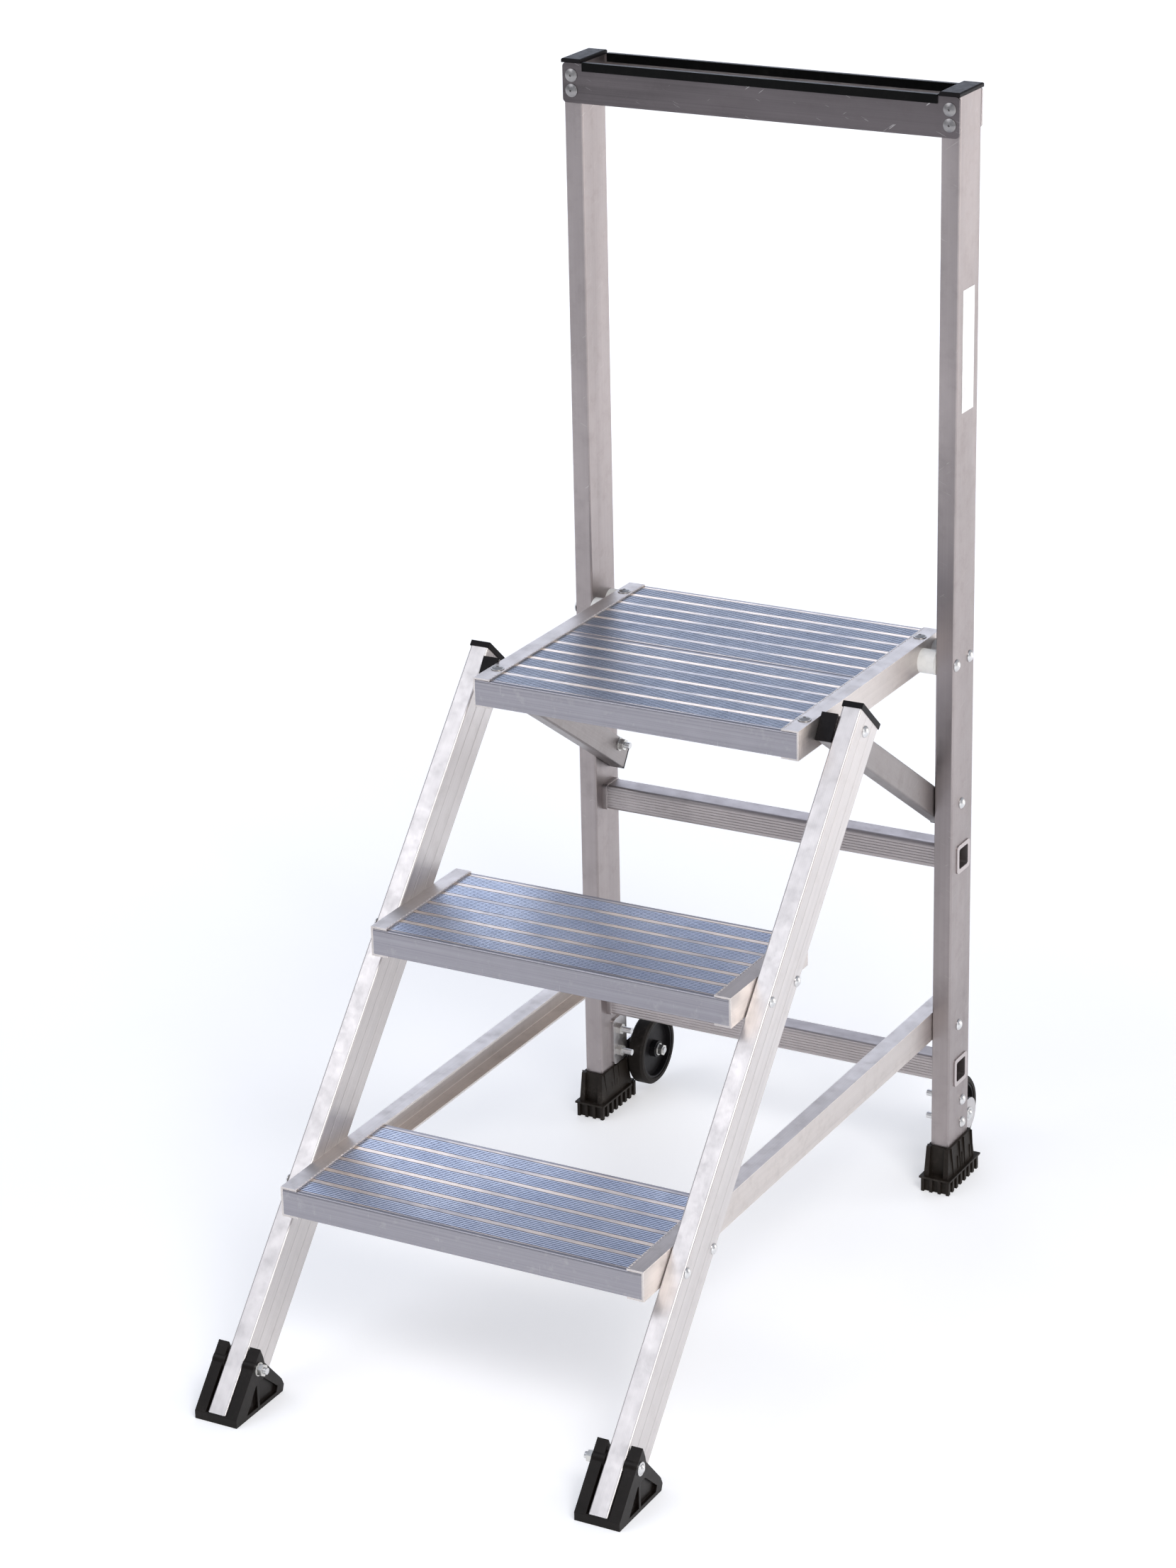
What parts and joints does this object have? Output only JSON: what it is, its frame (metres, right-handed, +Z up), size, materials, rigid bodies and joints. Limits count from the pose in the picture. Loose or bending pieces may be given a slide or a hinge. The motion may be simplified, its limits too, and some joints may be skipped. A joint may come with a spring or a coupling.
{
  "type": "step ladder",
  "caption": "Free-standing aluminium step ladder with ribbed treads, a platform, a tall handrail, black feet and small transport wheels at the rear.",
  "frame": {"origin": "on the floor, at the middle of the bounding box", "axes": "+Z up, +Y from the front feet towards the rear uprights, +X to the right of a person climbing it"},
  "size_m": [0.557, 1.054, 1.39],
  "materials": {
    "frame_tube": "satin, extruded",
    "tread": "satin, fine ribs",
    "channel": "satin, extruded",
    "brace_tube": "satin, extruded",
    "rung_tube": "satin, grooved",
    "handrail_plate": "satin, rolled",
    "black_plastic": "matte",
    "edge_trim": "semi-gloss",
    "foot_plastic": "satin",
    "foot_rubber": "matte, dusty",
    "bracket_steel": "zinc plated",
    "wheel_rubber": "matte",
    "wheel_plastic": "matte",
    "zinc_steel": "zinc plated",
    "rivet_aluminium": "satin",
    "nylon": "matte",
    "label": "blank, satin"
  },
  "bodies": {
    "frame": {"axle_bolts": "zinc_steel", "axle_nuts": "zinc_steel", "axle_spacers": "nylon", "bar_bolts": "zinc_steel", "bar_nuts": "zinc_steel", "brace_bolts": "zinc_steel", "brace_left": "brace_tube", "brace_nuts": "zinc_steel", "brace_plugs": "black_plastic", "brace_right": "brace_tube", "bracket_bolts": "zinc_steel", "bracket_nuts": "zinc_steel", "channel_caps": "black_plastic", "front_foot_bolts": "zinc_steel", "front_foot_left": "foot_plastic", "front_foot_nuts": "zinc_steel", "front_foot_right": "foot_plastic", "handrail_plate_front": "handrail_plate", "handrail_plate_rear": "handrail_plate", "handrail_rivets": "rivet_aluminium", "handrail_trim_front": "edge_trim", "handrail_trim_rear": "edge_trim", "label_plate": "label", "lower_channel_left": "channel", "lower_channel_right": "channel", "lower_tread": "tread", "middle_channel_left": "channel", "middle_channel_right": "channel", "middle_tread": "tread", "platform_bolts": "zinc_steel", "platform_channel_left": "channel", "platform_channel_right": "channel", "platform_nuts": "zinc_steel", "platform_screws": "zinc_steel", "platform_spacers": "nylon", "platform_tread_front": "tread", "platform_tread_rear": "tread", "rear_foot_left": "foot_rubber", "rear_foot_right": "foot_rubber", "rung_lower": "rung_tube", "rung_upper": "rung_tube", "step_bolts": "zinc_steel", "step_nuts": "zinc_steel", "stile_cap_left": "black_plastic", "stile_cap_right": "black_plastic", "stile_left": "frame_tube", "stile_right": "frame_tube", "stile_top_bolts": "zinc_steel", "stile_top_nuts": "zinc_steel", "upright_cap_left": "black_plastic", "upright_cap_right": "black_plastic", "upright_left": "frame_tube", "upright_right": "frame_tube", "wheel_bracket_left": "bracket_steel", "wheel_bracket_right": "bracket_steel"},
    "wheel_left": {"wheel_tyre_left": "wheel_rubber", "wheel_hub_left": "wheel_plastic"},
    "wheel_right": {"wheel_tyre_right": "wheel_rubber", "wheel_hub_right": "wheel_plastic"}
  },
  "joints": [
    {"name": "wheel_left_spin", "type": "hinge", "parent": "frame", "child": "wheel_left", "pos_m": [-0.2185, 0.4795, 0.0575], "axis": [1, 0, 0], "continuous": true},
    {"name": "wheel_right_spin", "type": "hinge", "parent": "frame", "child": "wheel_right", "pos_m": [0.2185, 0.4795, 0.0575], "axis": [1, 0, 0], "continuous": true}
  ]
}
